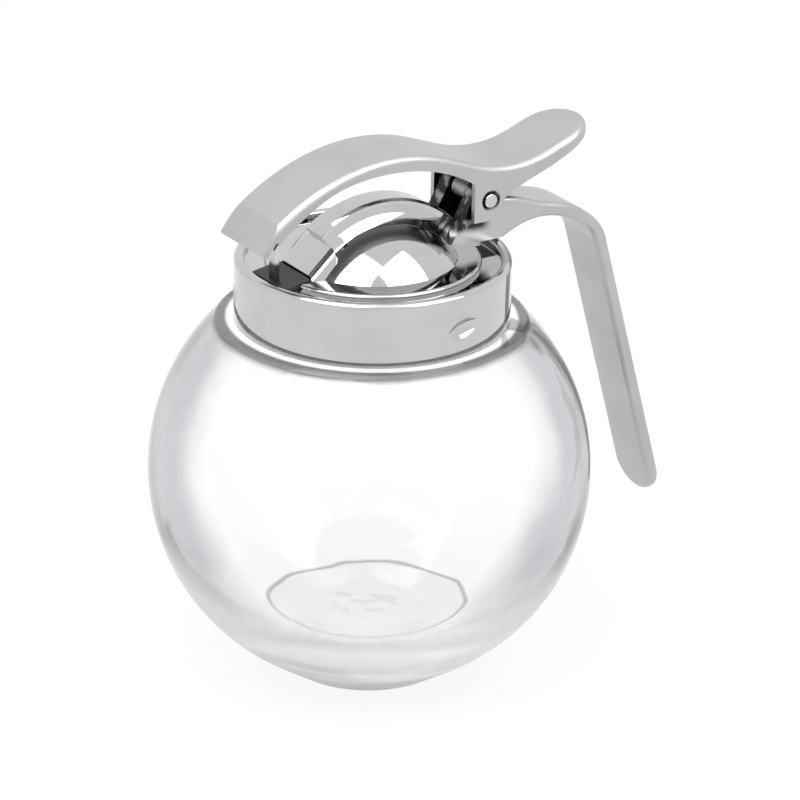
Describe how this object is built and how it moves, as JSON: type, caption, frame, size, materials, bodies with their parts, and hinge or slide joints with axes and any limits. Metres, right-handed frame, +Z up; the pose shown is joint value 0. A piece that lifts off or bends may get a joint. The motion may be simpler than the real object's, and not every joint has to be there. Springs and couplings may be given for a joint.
{
  "type": "honey dispenser",
  "caption": "Round clear glass honey dispenser with a metal screw collar, a pouring cap with a hooded mouth, a sprung thumb lever and a bent strip handle.",
  "frame": {"origin": "centre of the glass foot on the table", "axes": "+Z up, the spout points to -X and the handle to +X"},
  "size_m": [0.1152, 0.09, 0.1119],
  "materials": {
    "glass": "clear",
    "mirror_chrome": "polished",
    "satin_metal": "satin",
    "spring_steel": "satin",
    "dark_gate": "matte"
  },
  "bodies": {
    "jar": {"glass_jar": "glass", "collar": "mirror_chrome", "cap": "mirror_chrome", "handle": "satin_metal", "pivot_pin": "spring_steel", "return_spring": "spring_steel"},
    "lever": {"lever": "satin_metal", "gate": "dark_gate"}
  },
  "joints": [
    {"name": "lever_hinge", "type": "hinge", "parent": "jar", "child": "lever", "pos_m": [0.0227, 0, 0.09886], "axis": [0, 1, 0], "range_deg": [0, 18], "stiffness_Nm_per_rad": 0.15, "springref_deg": -15.47}
  ]
}
